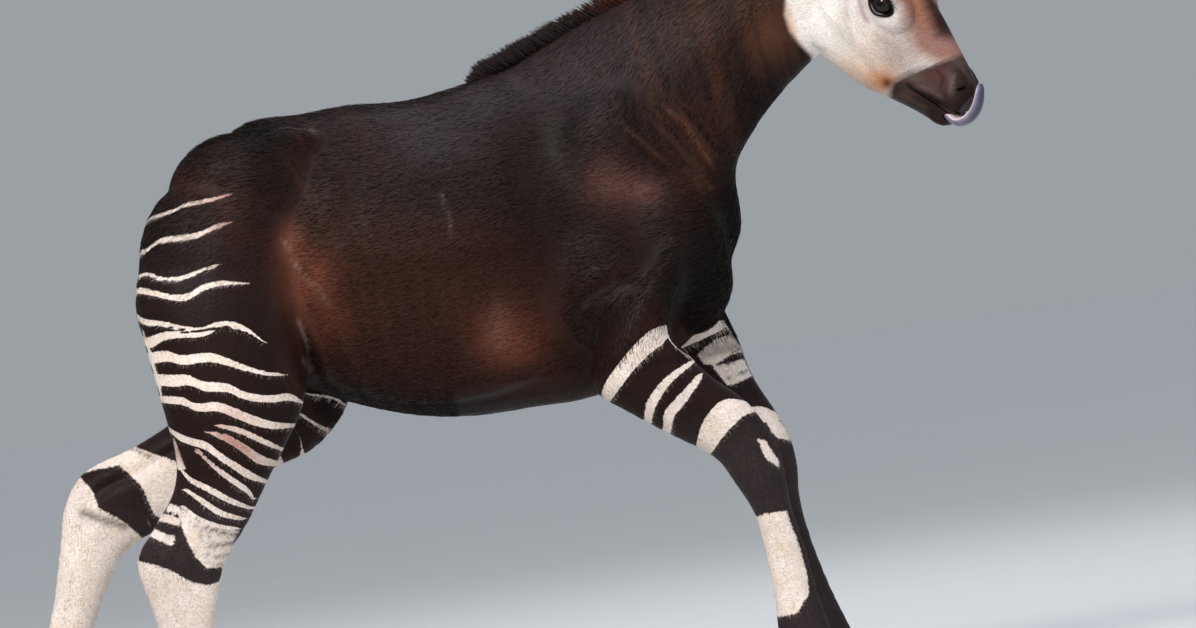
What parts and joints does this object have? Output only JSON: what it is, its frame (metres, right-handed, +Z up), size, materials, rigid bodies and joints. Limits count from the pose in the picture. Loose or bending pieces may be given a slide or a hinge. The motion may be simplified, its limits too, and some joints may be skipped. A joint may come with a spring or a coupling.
{
  "type": "okapi calf",
  "caption": "Life-size okapi calf walking with a long neck, turned head, curled tongue, large ears, standing mane and tufted tail.",
  "frame": {"origin": "middle of the figure's footprint box, on the floor", "axes": "+X the way the animal walks, +Y to its left, +Z up"},
  "size_m": [1.3891, 0.3539, 1.1402],
  "materials": {
    "coat": "short sleek dark brown fur",
    "face": "short pale fur, darker to the muzzle",
    "stocking": "short white fur with dark bands",
    "mane": "coarse standing hair",
    "tongue": "moist",
    "eye": "wet gloss",
    "hoof": "smooth horn"
  },
  "bodies": {
    "root": {"torso": "coat", "neck": "coat", "mane": "mane", "tail": "coat", "head": "face", "lower_jaw": "face", "tongue": "tongue", "ear_right": "coat", "ear_left": "coat", "eye_right": "eye", "eye_left": "eye", "foreleg_right_upper": "coat", "foreleg_right_lower": "stocking", "foreleg_left_upper": "coat", "foreleg_left_lower": "stocking", "hindleg_right_upper": "coat", "hindleg_right_lower": "stocking", "hindleg_left_upper": "coat", "hindleg_left_lower": "stocking", "foreleg_right_hoof_right": "hoof", "foreleg_right_hoof_left": "hoof", "foreleg_left_hoof_right": "hoof", "foreleg_left_hoof_left": "hoof", "hindleg_right_hoof_right": "hoof", "hindleg_right_hoof_left": "hoof", "hindleg_left_hoof_right": "hoof", "hindleg_left_hoof_left": "hoof"}
  },
  "joints": []
}
